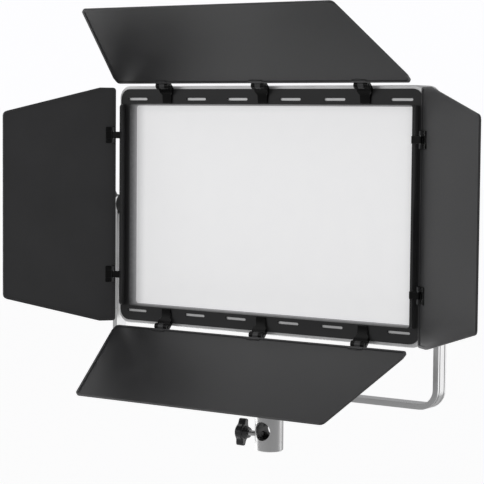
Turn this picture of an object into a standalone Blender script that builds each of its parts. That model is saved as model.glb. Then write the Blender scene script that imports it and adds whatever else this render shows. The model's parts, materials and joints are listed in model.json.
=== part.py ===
"""LED panel light with four barn doors, on a U yoke with a stand receiver.

Metres, +Z up, the lamp faces -Y. The origin is the middle of the receiver's lower face, on
the axis of its bore. Run with: blender --background --python part.py
"""

import math

import bmesh
import bpy
from mathutils import Matrix, Vector

GAP = 0.0003  # clearance between pieces that touch

# Lamp head, seen from the front: half sizes
FLANGE_X, FLANGE_Z = 0.1790, 0.1208
OPENING_X, OPENING_Z = 0.16825, 0.1055
BODY_X, BODY_Z = 0.1821, 0.1241

# Rails down the flange's sides, which carry the short doors' hinges
RAIL_INNER, RAIL_OUTER = 0.1727, 0.1752
RAIL_Z = 0.1050
RAIL_RISE = 0.0076
RAIL_CORNER = 0.0035

# Lamp head, front to back: distances behind the flange's front face
FLANGE_THICK = 0.0012
BEZEL_BACK = 0.0110
BEZEL_TAPER = 0.0018  # the window narrows by this much on each side over the bezel's depth
BEZEL_WALL = 0.0012
HOUSING_FRONT = FLANGE_THICK + GAP
HOUSING_BACK = 0.0300
COVER_BACK = 0.0520
PIVOT_DEPTH = 0.0160  # the tilt axis
WALL = 0.0025

# Yoke and stand receiver
PIVOT_HEIGHT = 0.2430
YOKE_INNER_X = 0.1902
YOKE_THICK = 0.0055
YOKE_WIDTH = 0.0160
YOKE_RADIUS = 0.0200
BAR_DROP = 0.1780  # pivot down to the top of the bar
RECEIVER_RADIUS = 0.0144
BORE_RADIUS = 0.0082
CROSS_HOLE_RADIUS = 0.0083
CROSS_HOLE_HEIGHT = 0.0207
CLAMP_HEIGHT = 0.0150

# Screws
SCREW_RADIUS = 0.0029
SCREW_HOLE = 0.0033

# Barn doors: hinge axis distances, opening angles at rest (0 is folded over the face)
WIDE_AXIS_Z, WIDE_AXIS_Y = 0.1240, 0.0080
SHORT_AXIS_X, SHORT_AXIS_Y = 0.1820, 0.0083
DOOR_ANGLES = {"top": 126.3, "bottom": 119.1, "left": 128.6, "right": 143.7}
HEM_THICK = 0.0024
HEM_WIDTH = 0.0022
SHEET_THICK = 0.0010

# The two kinds of door and hinge: the door is a trapezium with short straight sides next to
# its hinges, set off from the axis; the knuckles are those that belong to the door
WIDE = {
    "half_near": 0.1736,
    "half_far": 0.1445,
    "straight": 0.0145,
    "depth": 0.1232,
    "start": 0.0050,
    "offset": 0.0,
    "hinges": (-0.1179, 0.0, 0.1179),
    "barrel": 0.0035,
    "pin": 0.0012,
    "half": 0.00775,
    "knuckles": ((-0.0031, 0.0031),),
    "web": (-0.0100, 0.0),
    "pad": (-0.0085, -0.0060),
}
SHORT = {
    "half_near": 0.1222,
    "half_far": 0.0962,
    "straight": 0.0146,
    "depth": 0.1165,
    "start": -0.0024,
    "offset": 0.0025,
    "hinges": (-0.0729, 0.0729),
    "barrel": 0.0016,
    "pin": 0.0008,
    "half": 0.0082,
    "knuckles": ((-0.0082, -0.0038), (0.0038, 0.0082)),
    "web": (-0.0016, 0.0012),
    "pad": (-0.0070, -0.0010),
}
ARM_HALF = 0.0035  # half height of the fixed arm between a short door's knuckles

PARTS = "led_panel_light"
CUTTERS = "cutters"


# ---------------------------------------------------------------- scene and materials


def clear_scene():
    for item in list(bpy.data.objects):
        bpy.data.objects.remove(item, do_unlink=True)
    for name in (PARTS, CUTTERS):
        group = bpy.data.collections.new(name)
        bpy.context.scene.collection.children.link(group)


def material(name, colour, roughness, metallic=0.0):
    made = bpy.data.materials.new(name)
    made.use_nodes = True
    shader = made.node_tree.nodes["Principled BSDF"]
    shader.inputs["Base Color"].default_value = (*colour, 1.0)
    shader.inputs["Roughness"].default_value = roughness
    shader.inputs["Metallic"].default_value = metallic
    return made


def make_materials():
    return {
        "satin_aluminium": material("satin_aluminium", (0.62, 0.62, 0.62), 0.32, 1.0),
        "silver_paint": material("silver_paint", (0.58, 0.58, 0.58), 0.38, 0.6),
        "grey_plastic": material("grey_plastic", (0.22, 0.22, 0.22), 0.45),
        "black_sheet": material("black_sheet", (0.035, 0.035, 0.036), 0.50),
        "black_frame": material("black_frame", (0.030, 0.030, 0.031), 0.45),
        "hinge_black": material("hinge_black", (0.012, 0.012, 0.012), 0.22),
        "gloss_black": material("gloss_black", (0.012, 0.012, 0.012), 0.22),
        "black_plastic": material("black_plastic", (0.025, 0.025, 0.025), 0.50),
        "black_grip": material("black_grip", (0.015, 0.015, 0.016), 0.38),
        "steel": material("steel", (0.55, 0.55, 0.55), 0.25, 1.0),
        "rubber": material("rubber", (0.02, 0.02, 0.02), 0.80),
        "white_diffuser": material("white_diffuser", (0.82, 0.82, 0.83), 0.60),
        "white_plastic": material("white_plastic", (0.80, 0.80, 0.80), 0.50),
        "circuit_board": material("circuit_board", (0.05, 0.22, 0.10), 0.45),
        "display_glass": material("display_glass", (0.01, 0.012, 0.015), 0.08),
    }


# ---------------------------------------------------------------- modelling helpers


def link(item, group=PARTS):
    bpy.data.collections[group].objects.link(item)
    return item


def new_object(name, mesh):
    return link(bpy.data.objects.new(name, mesh))


def active_as(name):
    """Name the primitive that was just added, and move it to the parts' collection."""
    item = bpy.context.active_object
    item.name = name
    item.data.name = name
    for group in list(item.users_collection):
        group.objects.unlink(item)
    return link(item)


def box(name, low, high):
    low, high = Vector(low), Vector(high)
    bpy.ops.mesh.primitive_cube_add(size=1.0)
    item = active_as(name)
    size = Matrix.Diagonal((*(high - low), 1.0))
    item.data.transform(Matrix.Translation((low + high) / 2) @ size)
    return item


AXIS_TURN = {
    "X": Matrix.Rotation(math.radians(90), 4, "Y"),
    "Y": Matrix.Rotation(math.radians(-90), 4, "X"),
    "Z": Matrix.Identity(4),
}


def cylinder(name, radius, start, end, centre, axis, sides, end_radius=None):
    """A cylinder or cone from start to end along axis, through the point centre."""
    bpy.ops.mesh.primitive_cone_add(
        vertices=sides,
        radius1=radius,
        radius2=radius if end_radius is None else end_radius,
        depth=end - start,
    )
    item = active_as(name)
    middle = Vector(centre)
    middle["XYZ".index(axis)] = (start + end) / 2
    item.data.transform(Matrix.Translation(middle) @ AXIS_TURN[axis])
    return item


def turned(name, profile, steps):
    """Turn (radius, height) points about Z, top to bottom down the outside.

    A profile that starts and ends on the axis makes a solid; any other is closed to a ring.
    """
    mesh = bpy.data.meshes.new(name)
    count = len(profile)
    edges = [(i, i + 1) for i in range(count - 1)]
    if profile[0][0] > 0:
        edges.append((count - 1, 0))
    mesh.from_pydata([(r, 0.0, z) for r, z in profile], edges, [])
    item = new_object(name, mesh)
    screw = item.modifiers.new("turn", "SCREW")
    screw.steps = screw.render_steps = steps
    screw.use_merge_vertices = True
    screw.merge_threshold = 0.00001
    return item


# Turns a flat outline into the named plane; its depth then runs along the third axis
PLANES = {
    "XZ": Matrix.Rotation(math.radians(90), 4, "X"),
    "YZ": Matrix.Rotation(math.radians(90), 4, "Z") @ Matrix.Rotation(math.radians(90), 4, "X"),
}
DEPTH_SIGN = {"XZ": -1, "YZ": 1}


def prism(name, loops, plane, start, end):
    """Extrude flat outlines (the first outside, the others holes) from start to end."""
    curve = bpy.data.curves.new(name, "CURVE")
    curve.dimensions = "2D"
    curve.fill_mode = "BOTH"
    curve.extrude = (end - start) / 2
    for loop in loops:
        spline = curve.splines.new("POLY")
        spline.points.add(len(loop) - 1)
        spline.use_cyclic_u = True
        for point, (a, b) in zip(spline.points, loop):
            point.co = (a, b, 0.0, 1.0)
    guide = link(bpy.data.objects.new(name, curve))
    bpy.context.view_layer.update()
    mesh = bpy.data.meshes.new_from_object(guide.evaluated_get(bpy.context.evaluated_depsgraph_get()))
    bpy.data.objects.remove(guide)
    lift = Matrix.Translation((0, 0, DEPTH_SIGN[plane] * (start + end) / 2))
    mesh.transform(PLANES[plane] @ lift)
    weld(mesh, len(loops) == 1)
    mesh.name = name
    return new_object(name, mesh)


def weld(mesh, one_outline):
    """Close the curve's loose caps, and merge the triangles of a cap that has no holes."""
    work = bmesh.new()
    work.from_mesh(mesh)
    bmesh.ops.remove_doubles(work, verts=work.verts, dist=0.000005)
    if one_outline:
        flat = math.radians(0.5)
        bmesh.ops.dissolve_limit(work, angle_limit=flat, verts=work.verts, edges=work.edges)
    bmesh.ops.recalc_face_normals(work, faces=work.faces)
    work.to_mesh(mesh)
    work.free()


def lofted(name, sections):
    """Join outlines of equal point count, each ((x, z) points, y), into one closed body."""
    work = bmesh.new()
    rings = []
    for points, depth in sections:
        ring = [work.verts.new((x, depth, z)) for x, z in points]
        rings.append([work.edges.new((a, b)) for a, b in zip(ring, ring[1:] + ring[:1])])
    for near, far in zip(rings, rings[1:]):
        bmesh.ops.bridge_loops(work, edges=near + far)
    for ring in (rings[0], rings[-1]):
        bmesh.ops.edgeloop_fill(work, edges=ring)
    bmesh.ops.recalc_face_normals(work, faces=work.faces)
    mesh = bpy.data.meshes.new(name)
    work.to_mesh(mesh)
    work.free()
    return new_object(name, mesh)


def combine(target, tool, operation):
    change = target.modifiers.new(tool.name, "BOOLEAN")
    change.operation = operation
    change.solver = "EXACT"
    change.object = tool
    tool.parent = target
    tool.hide_render = True
    tool.display_type = "WIRE"
    bpy.data.collections[PARTS].objects.unlink(tool)
    link(tool, CUTTERS)


def cut(target, *tools):
    for tool in tools:
        combine(target, tool, "DIFFERENCE")


def join(target, *tools):
    for tool in tools:
        combine(target, tool, "UNION")


def bevel(item, width, segments=1, angle=50):
    change = item.modifiers.new("edges", "BEVEL")
    change.width = width
    change.segments = segments
    change.limit_method = "ANGLE"
    change.angle_limit = math.radians(angle)
    change.use_clamp_overlap = True


def baked(item):
    """The item's evaluated mesh, with its modifiers applied and its tools removed."""
    bpy.context.view_layer.update()
    mesh = bpy.data.meshes.new_from_object(item.evaluated_get(bpy.context.evaluated_depsgraph_get()))
    for tool in list(item.children):
        bpy.data.objects.remove(tool)
    bpy.data.objects.remove(item)
    return mesh


def soften(item, angle=35):
    item.data.shade_smooth()
    item.data.set_sharp_from_angle(angle=math.radians(angle))


def empty(name, location, parent=None, rotation=(0, 0, 0)):
    """An axis or a frame that other objects hang on; location is in the parent's frame."""
    item = link(bpy.data.objects.new(name, None))
    item.empty_display_size = 0.02
    item.location = location
    item.rotation_euler = rotation
    item.parent = parent
    return item


def settle(item, finish, parent=None, location=(0, 0, 0), rotation=(0, 0, 0)):
    """Give a finished piece its material and its place under its parent."""
    item.data.materials.clear()
    item.data.materials.append(finish)
    item.parent = parent
    item.location = location
    item.rotation_euler = rotation
    return item


# ---------------------------------------------------------------- outlines


def arc(cx, cy, radius, start, end, count):
    """Points on an arc, angles in degrees, both ends included."""
    turns = [math.radians(start + (end - start) * i / count) for i in range(count + 1)]
    return [(cx + radius * math.cos(t), cy + radius * math.sin(t)) for t in turns]


def rounded_rectangle(half_x, half_z, radius, cx=0.0, cz=0.0, count=5):
    corners = ((1, 1, 0), (-1, 1, 90), (-1, -1, 180), (1, -1, 270))
    points = []
    for sx, sz, start in corners:
        x = cx + sx * (half_x - radius)
        z = cz + sz * (half_z - radius)
        points += arc(x, z, radius, start, start + 90, count)
    return without_repeats(points)


def without_repeats(points, apart=0.00001):
    """Drop each point that lies on the one before it, as where two arcs meet."""
    return [p for i, p in enumerate(points) if math.dist(p, points[i - 1]) > apart]


def rounded_polygon(corners, radii, count=3):
    """Round each corner of a convex polygon that runs anticlockwise."""
    points = []
    total = len(corners)
    for i, radius in enumerate(radii):
        here = Vector(corners[i])
        back = (Vector(corners[i - 1]) - here).normalized()
        ahead = (Vector(corners[(i + 1) % total]) - here).normalized()
        half = back.angle(ahead) / 2
        centre = here + (back + ahead).normalized() * radius / math.sin(half)
        swing = math.degrees(math.pi - 2 * half)
        inward = math.degrees(math.atan2(*(back + ahead).yx)) + 180
        points += arc(centre.x, centre.y, radius, inward - swing / 2, inward + swing / 2, count)
    return points


def lobed(radius, depth, lobes, count):
    """A round outline whose edge waves in by depth between its lobes."""
    points = []
    for i in range(count):
        turn = 2 * math.pi * i / count
        dip = depth * (0.5 - 0.5 * math.cos(lobes * turn)) ** 1.2
        points.append(((radius - dip) * math.cos(turn), (radius - dip) * math.sin(turn)))
    return points


def winged(hub, half_width, half_length, count, blend=7):
    """A round hub with a wing up and a wing down, drawn as one smooth outline."""
    points = []
    for i in range(count):
        turn = 2 * math.pi * i / count
        across, along = abs(math.cos(turn)), abs(math.sin(turn))
        wing = ((across / half_width) ** blend + (along / half_length) ** blend) ** (-1 / blend)
        radius = (hub**blend + wing**blend) ** (1 / blend)
        points.append((radius * math.cos(turn), radius * math.sin(turn)))
    return points


def u_path(half_x, bottom, top, radius, count=7):
    """A U from the top of its left arm, round the bottom, to the top of its right arm."""
    left = arc(-half_x + radius, bottom + radius, radius, 180, 270, count)
    right = arc(half_x - radius, bottom + radius, radius, 270, 360, count)
    return [(-half_x, top)] + left + right + [(half_x, top)]


# ---------------------------------------------------------------- yoke and stand receiver


def make_yoke(finish):
    outer_x = YOKE_INNER_X + YOKE_THICK
    bar_top = PIVOT_HEIGHT - BAR_DROP
    bar_low = bar_top - YOKE_THICK
    half = YOKE_WIDTH / 2
    top = PIVOT_HEIGHT + half
    outer = u_path(outer_x, bar_low, top, YOKE_RADIUS)
    inner = u_path(YOKE_INNER_X, bar_top, top, YOKE_RADIUS - YOKE_THICK)
    yoke = prism("yoke", [outer + inner[::-1]], "XZ", -half, half)

    over = 0.0010
    groove_depth, groove_half, groove_y = 0.0007, 0.0007, 0.0046
    for name, y in (("front_groove", -groove_y), ("rear_groove", groove_y)):
        far = u_path(outer_x + over, bar_low - over, top + over, YOKE_RADIUS + over)
        near = u_path(
            outer_x - groove_depth, bar_low + groove_depth, top + over, YOKE_RADIUS - groove_depth
        )
        cut(yoke, prism(name, [far + near[::-1]], "XZ", y - groove_half, y + groove_half))

    for side in (-1, 1):
        round_end = arc(0, PIVOT_HEIGHT, half, 180, 0, 10)
        spare = half + over
        shell = [(-spare, PIVOT_HEIGHT)] + round_end + [(spare, PIVOT_HEIGHT)]
        shell += [(spare, top + over), (-spare, top + over)]
        start, end = sorted((side * (YOKE_INNER_X - over), side * (outer_x + over)))
        cut(yoke, prism(f"arm_end_{side}", [shell], "YZ", start, end))

    reach = outer_x + over
    pivot = (0, 0, PIVOT_HEIGHT)
    cut(yoke, cylinder("pivot_holes", SCREW_HOLE, -reach, reach, pivot, "X", 16))
    cut(yoke, cylinder("bolt_hole", 0.0043, bar_low - over, bar_top + over, (0, 0, 0), "Z", 16))
    soften(yoke)
    return settle(yoke, finish)


def make_receiver(finish):
    top = PIVOT_HEIGHT - BAR_DROP - YOKE_THICK - GAP
    bore_end = 0.0430
    chamfer = 0.0009
    profile = [
        (0.0034, top),
        (RECEIVER_RADIUS - chamfer, top),
        (RECEIVER_RADIUS, top - chamfer),
        (RECEIVER_RADIUS, chamfer),
        (RECEIVER_RADIUS - chamfer, 0.0),
        (BORE_RADIUS + chamfer, 0.0),
        (BORE_RADIUS, chamfer),
        (BORE_RADIUS, bore_end),
        (0.0034, bore_end + 0.0030),
    ]
    receiver = turned("stand_receiver", profile, 36)
    reach, mouth, seat = RECEIVER_RADIUS + 0.0010, CROSS_HOLE_RADIUS + 0.0016, 0.0100
    hole_profile = [
        (0.0, reach),
        (mouth, reach),
        (CROSS_HOLE_RADIUS, seat),
        (CROSS_HOLE_RADIUS, -seat),
        (mouth, -reach),
        (0.0, -reach),
    ]
    cross_hole = turned("cross_hole", hole_profile, 28)
    cut(receiver, cross_hole)
    cross_hole.location.z = CROSS_HOLE_HEIGHT
    cross_hole.rotation_euler.x = math.radians(90)
    screw_line = (0, 0, CLAMP_HEIGHT)
    cut(receiver, cylinder("clamp_hole", SCREW_HOLE, -reach, -0.0060, screw_line, "X", 16))
    soften(receiver)
    return settle(receiver, finish)


def make_bolt(finish):
    bar_top = PIVOT_HEIGHT - BAR_DROP
    head_top = bar_top + 0.0050
    head, shank, key = 0.0065, 0.0030, 0.0026
    profile = [
        (0.0, head_top - 0.0030),
        (key, head_top - 0.0030),
        (key, head_top),
        (head - 0.0005, head_top),
        (head, head_top - 0.0005),
        (head, bar_top + GAP),
        (shank, bar_top + GAP),
        (shank, 0.0480),
        (0.0, 0.0480),
    ]
    bolt = turned("receiver_bolt", profile, 20)
    soften(bolt)
    return settle(bolt, finish)


def make_clamp(finishes):
    """The loose tip, the screw and its winged knob, all on the clamp's own axis."""
    axis = empty("clamp_axis", (0, 0, CLAMP_HEIGHT))
    tip = cylinder("clamp_tip", 0.0026, -0.0102, -BORE_RADIUS - 0.0001, (0, 0, 0), "X", 16)
    settle(tip, finishes["steel"], axis)

    knob_face, knob_back, boss_end = -0.0375, -0.0288, -0.0240
    screw_end = knob_face + 0.0032
    screw = cylinder("clamp_screw", SCREW_RADIUS, screw_end, -0.0105, (0, 0, 0), "X", 16)
    settle(screw, finishes["steel"], axis)

    outline = winged(0.0086, 0.0038, 0.0138, 48)
    knob = prism("clamp_knob", [outline], "YZ", knob_face, knob_back)
    bevel(knob, 0.0018, 1, 40)
    start, end = knob_back - 0.0010, boss_end
    join(knob, cylinder("boss", 0.0062, start, end, (0, 0, 0), "X", 20, 0.0048))
    bore = SCREW_RADIUS + GAP
    cut(knob, cylinder("bore", bore, screw_end - GAP, boss_end + 0.0010, (0, 0, 0), "X", 16))
    soften(knob, 40)
    settle(knob, finishes["black_grip"], axis)
    knob.rotation_euler.x = math.radians(-12)


# ---------------------------------------------------------------- tilt clamps


def make_tilt_side(side, name, pivot, finishes):
    """One arm's spacer washer, screw and knob; side is -1 on the left and 1 on the right."""
    outer = YOKE_INNER_X + YOKE_THICK
    spans = {
        "washer": (BODY_X + GAP, YOKE_INNER_X - GAP),
        "hole": (BODY_X - 0.0010, YOKE_INNER_X + 0.0010),
        "screw": (0.1722, outer + 0.0130),
        "collar": (outer + GAP, outer + 0.0045),
        "knob": (outer + 0.0040, outer + 0.0170),
        "bore": (outer, outer + 0.0133),
    }

    def span(key):
        return sorted(side * value for value in spans[key])

    origin = (0, 0, 0)
    axis = empty(f"tilt_knob_{name}_axis", (0, 0, 0), pivot)
    washer = cylinder(f"friction_washer_{name}", 0.0110, *span("washer"), origin, "X", 24)
    through = span("hole")
    cut(washer, cylinder("washer_hole", SCREW_HOLE, *through, origin, "X", 16))
    settle(washer, finishes["rubber"], pivot)
    screw = cylinder(f"tilt_screw_{name}", SCREW_RADIUS, *span("screw"), origin, "X", 16)
    settle(screw, finishes["steel"], axis)

    knob = prism(f"tilt_knob_{name}", [lobed(0.0144, 0.0030, 6, 48)], "YZ", *span("knob"))
    bevel(knob, 0.0016, 1, 40)
    join(knob, cylinder("collar", 0.0075, *span("collar"), origin, "X", 20))
    cut(knob, cylinder("bore", SCREW_RADIUS + GAP, *span("bore"), origin, "X", 16))
    soften(knob, 40)
    settle(knob, finishes["black_grip"], axis)


# ---------------------------------------------------------------- lamp housing


def make_front_housing(head, finish):
    """A shallow box of wall thickness WALL, open at the back, with the light's opening."""
    space = BEZEL_WALL + 2 * GAP
    shell = prism("front_housing", [rounded_rectangle(BODY_X, BODY_Z, 0.0125, count=6)], "XZ",
                  HOUSING_FRONT, HOUSING_BACK)
    bevel(shell, 0.0010)
    inner = rounded_rectangle(BODY_X - WALL, BODY_Z - WALL, 0.0100)
    cut(shell, prism("cavity", [inner], "XZ", HOUSING_FRONT + 0.0020, HOUSING_BACK + 0.0010))
    hole = rounded_rectangle(OPENING_X + space, OPENING_Z + space, 0.0040)
    cut(shell, prism("window", [hole], "XZ", 0.0, HOUSING_FRONT + 0.0040))
    tilt = (0, PIVOT_DEPTH, 0)
    for side in (-1, 1):
        start, end = sorted((side * 0.1735, side * (BODY_X - WALL / 2)))
        join(shell, cylinder(f"boss_{side}", 0.0085, start, end, tilt, "X", 20))
    reach = BODY_X + 0.0010
    for side in (-1, 1):
        start, end = sorted((side * 0.1700, side * reach))
        cut(shell, cylinder(f"tilt_hole_{side}", SCREW_HOLE, start, end, tilt, "X", 16))
    soften(shell)
    return settle(shell, finish, head)


SLOT_CENTRES = (-0.1569, -0.0824, -0.0315, 0.0315, 0.0824, 0.1569)
SLOT_HALF_LENGTH, SLOT_HALF_WIDTH, SLOT_Z = 0.0123, 0.0013, 0.1105


def make_barn_door_frame(head, finish):
    """Flat flange with twelve slots round its opening, and a standing rail down each side."""
    outline = rounded_rectangle(FLANGE_X, FLANGE_Z, 0.0110, count=6)
    frame = prism("barn_door_frame", [outline], "XZ", 0.0, FLANGE_THICK)
    root, crest, end = FLANGE_THICK / 2, RAIL_CORNER - RAIL_RISE, RAIL_Z - RAIL_CORNER
    rail = [(root, -RAIL_Z), (root, RAIL_Z)]
    rail += arc(crest, end, RAIL_CORNER, 90, 180, 4) + arc(crest, -end, RAIL_CORNER, 180, 270, 4)
    for side in (-1, 1):
        near, far = sorted((side * RAIL_INNER, side * RAIL_OUTER))
        join(frame, prism(f"rail_{side}", [rail], "YZ", near, far))
    opening = rounded_rectangle(OPENING_X, OPENING_Z, 0.0025, count=3)
    cut(frame, prism("opening", [opening], "XZ", -0.0010, FLANGE_THICK + 0.0010))
    slots = [
        rounded_rectangle(SLOT_HALF_LENGTH, SLOT_HALF_WIDTH, SLOT_HALF_WIDTH, x, z, 2)
        for x in SLOT_CENTRES
        for z in (-SLOT_Z, SLOT_Z)
    ]
    cut(frame, prism("slots", slots, "XZ", -0.0010, FLANGE_THICK + 0.0010))
    soften(frame)
    return settle(frame, finish, head)


def make_bezel(head, finish):
    """Sloping walls of the window, from the flange back to the diffuser."""
    front = FLANGE_THICK + GAP
    slope = BEZEL_TAPER / (BEZEL_BACK - front)

    def section(depth, spare):
        inset = slope * (depth - front) - spare
        return rounded_rectangle(OPENING_X - inset, OPENING_Z - inset, 0.0025 + spare, count=3), depth

    bezel = lofted("window_bezel", [section(front, BEZEL_WALL), section(BEZEL_BACK, BEZEL_WALL)])
    over = 0.0010
    cut(bezel, lofted("bezel_way", [section(front - over, 0.0), section(BEZEL_BACK + over, 0.0)]))
    soften(bezel)
    return settle(bezel, finish, head)


def make_light_engine(head, finishes):
    """Diffuser, reflector walls, LED board and heat spreader, stacked behind the bezel."""
    half_x, half_z = 0.1715, 0.1090
    outline = rounded_rectangle(half_x, half_z, 0.0040, count=3)
    inner = rounded_rectangle(half_x - 0.0022, half_z - 0.0022, 0.0030, count=3)
    stack = (
        ("diffuser", [outline], BEZEL_BACK + GAP, 0.0139, "white_diffuser"),
        ("light_box", [outline, inner], 0.0142, 0.0240, "white_plastic"),
        ("led_board", [outline], 0.0243, 0.0259, "white_plastic"),
        ("heat_spreader", [outline], 0.0262, 0.0284, "satin_aluminium"),
    )
    for name, loops, start, end, finish in stack:
        piece = prism(name, loops, "XZ", start, end)
        if name == "heat_spreader":
            for i in range(-4, 5):
                rib = ((i * 0.036) - 0.0010, end - 0.0005, -0.100)
                join(piece, box(f"rib_{i}", rib, (rib[0] + 0.0020, end + 0.0050, 0.100)))
        settle(piece, finishes[finish], head)


# ---------------------------------------------------------------- rear of the lamp


PANEL = {"x": 0.0760, "z": 0.0260, "cz": -0.0660, "front": COVER_BACK + GAP}
PANEL_BACK = PANEL["front"] + 0.0024
KNOB_X = {"dimmer_knob": -0.0560, "colour_knob": 0.0280}
BUTTON_X = 0.0040
SOCKET_X = 0.0600
SWITCH_X, SWITCH_HALF_X, SWITCH_HALF_Z = 0.0600, 0.0066, 0.0098
PANEL_ROW = {"socket": -0.0800, "switch": -0.0560}
DISPLAY_X, DISPLAY_HALF_X, DISPLAY_HALF_Z = -0.0240, 0.0165, 0.0110
PLATE_X, PLATE_Z = 0.0800, 0.0340


def cover_section(inset, depth):
    """The rear cover's outline at a depth behind its front edge, drawn in as it goes back."""
    run = depth - (HOUSING_BACK + GAP)
    drawn = inset + 0.0150 * max(0.0, run / (COVER_BACK - HOUSING_BACK)) ** 2
    return rounded_rectangle(BODY_X - drawn, BODY_Z - drawn, 0.0125, count=6), depth


def make_rear_cover(head, finish):
    """A tray that closes the back, with vents, boss posts and holes for the controls."""
    front = HOUSING_BACK + GAP
    depths = [front, front + 0.0080, front + 0.0150, front + 0.0190, COVER_BACK]
    cover = lofted("rear_cover", [cover_section(0.0, y) for y in depths])
    inner = [cover_section(WALL, y) for y in depths[:-1]]
    inner[0] = (inner[0][0], front - 0.0010)
    inner.append(cover_section(WALL, COVER_BACK - WALL))
    cut(cover, lofted("cover_cavity", inner))
    for x in (-0.0900, 0.0900):
        for z in (-0.0400, 0.0400):
            join(cover, cylinder(f"post_{x}_{z}", 0.0030, 0.0380, 0.0500, (x, 0, z), "Y", 12))
    back = (COVER_BACK - 0.0060, COVER_BACK + 0.0010)
    for name, x in KNOB_X.items():
        cut(cover, cylinder(f"{name}_way", 0.0036, *back, (x, 0, PANEL["cz"]), "Y", 14))
    socket = (SOCKET_X, 0, PANEL_ROW["socket"])
    cut(cover, cylinder("socket_way", 0.0058, *back, socket, "Y", 20))
    way_x, way_z = SWITCH_HALF_X + 0.0006, SWITCH_HALF_Z + 0.0006
    z = PANEL_ROW["switch"]
    low, high = (SWITCH_X - way_x, back[0], z - way_z), (SWITCH_X + way_x, back[1], z + way_z)
    cut(cover, box("switch_way", low, high))
    for i in range(9):
        z = 0.0960 - 0.0085 * i
        vent = rounded_rectangle(0.0240, 0.0017, 0.0017, 0.0, z, 2)
        cut(cover, prism(f"vent_{i}", [vent], "XZ", *back))
    soften(cover)
    return settle(cover, finish, head)


def make_driver_board(head, finish):
    """Power board with its larger components, on the cover's posts."""
    board = box("driver_board", (-0.1000, 0.0361, -0.0480), (0.1000, 0.0377, 0.0480))
    low = 0.0370
    for name, x, z, half_x, half_z, top in (
        ("transformer", -0.0300, 0.0200, 0.0130, 0.0110, 0.0480),
        ("choke", 0.0350, 0.0260, 0.0090, 0.0090, 0.0470),
        ("bridge", -0.0700, -0.0200, 0.0080, 0.0040, 0.0460),
        ("connector", 0.0750, -0.0300, 0.0060, 0.0120, 0.0450),
    ):
        join(board, box(name, (x - half_x, low, z - half_z), (x + half_x, top, z + half_z)))
    for i, x in enumerate((-0.0050, 0.0100, 0.0600)):
        join(board, cylinder(f"capacitor_{i}", 0.0050, low, 0.0470, (x, 0, -0.0200), "Y", 12))
    return settle(board, finish, head)


def make_control_panel(head, finish):
    outline = rounded_rectangle(PANEL["x"], PANEL["z"], 0.0060, 0, PANEL["cz"])
    screen = rounded_rectangle(
        DISPLAY_HALF_X + GAP, DISPLAY_HALF_Z + GAP, 0.0015, DISPLAY_X, PANEL["cz"], 3
    )
    switch = rounded_rectangle(
        SWITCH_HALF_X + 0.0006, SWITCH_HALF_Z + 0.0006, 0.0010, SWITCH_X, PANEL_ROW["switch"], 2
    )
    loops = [outline, screen, switch]
    for x, z, radius in (
        (KNOB_X["dimmer_knob"], PANEL["cz"], 0.0036),
        (KNOB_X["colour_knob"], PANEL["cz"], 0.0036),
        (BUTTON_X, PANEL["cz"], 0.0044),
        (SOCKET_X, PANEL_ROW["socket"], 0.0058),
    ):
        loops.append(arc(x, z, radius, 0, 340, 17))
    panel = prism("control_panel", loops, "XZ", PANEL["front"], PANEL_BACK)
    soften(panel)
    settle(panel, finish, head)


def make_controls(head, finishes):
    z = PANEL["cz"]
    window = rounded_rectangle(DISPLAY_HALF_X, DISPLAY_HALF_Z, 0.0012, DISPLAY_X, z, 3)
    glass = prism("display_window", [window], "XZ", PANEL["front"], PANEL_BACK - 0.0004)
    settle(glass, finishes["display_glass"], head)

    for name, x in KNOB_X.items():
        axis = empty(f"{name}_axis", (x, 0, z), head)
        grip = lobed(0.0100, 0.0010, 12, 48)
        knob = prism(name, [grip], "XZ", PANEL_BACK + 0.0005, PANEL_BACK + 0.0125)
        bevel(knob, 0.0008, 1, 50)
        join(knob, cylinder(f"{name}_shaft", 0.0030, 0.0500, PANEL_BACK + 0.0020, (0, 0, 0), "Y", 14))
        soften(knob, 40)
        settle(knob, finishes["black_grip"], axis)

    axis = empty("menu_button_axis", (BUTTON_X, 0, z), head)
    button = cylinder("menu_button", 0.0040, COVER_BACK + 0.0014, PANEL_BACK + 0.0016,
                      (0, 0, 0), "Y", 20)
    bevel(button, 0.0005)
    soften(button)
    settle(button, finishes["black_grip"], axis)

    make_socket(head, finishes["gloss_black"])
    make_switch(head, finishes["gloss_black"])


def make_socket(head, finish):
    """Barrel power inlet: a cup with a centre pin."""
    back = PANEL_BACK + 0.0012
    profile = [
        (0.0, back - 0.0010),
        (0.0010, back - 0.0010),
        (0.0010, back - 0.0085),
        (0.0032, back - 0.0085),
        (0.0032, back),
        (0.0070, back),
        (0.0070, PANEL_BACK + GAP),
        (0.0055, PANEL_BACK + GAP),
        (0.0055, back - 0.0100),
        (0.0, back - 0.0100),
    ]
    socket = turned("power_socket", profile, 20)
    soften(socket)
    place = (SOCKET_X, 0, PANEL_ROW["socket"])
    settle(socket, finish, head, place, (math.radians(-90), 0, 0))


def make_switch(head, finish):
    """Rocker that turns about X; its two faces meet in a shallow V."""
    middle_y = PANEL_BACK - 0.0012
    axis = empty("power_switch_axis", (SWITCH_X, middle_y, PANEL_ROW["switch"]), head)
    half = SWITCH_HALF_Z - 0.0004
    profile = [
        (-0.0030, -half + 0.0030),
        (0.0042, -half),
        (0.0016, 0.0),
        (0.0042, half),
        (-0.0030, half - 0.0030),
        (-0.0048, 0.0),
    ]
    rocker = prism("power_switch", [profile], "YZ", -SWITCH_HALF_X, SWITCH_HALF_X)
    settle(rocker, finish, axis, rotation=(math.radians(-6), 0, 0))


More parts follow.
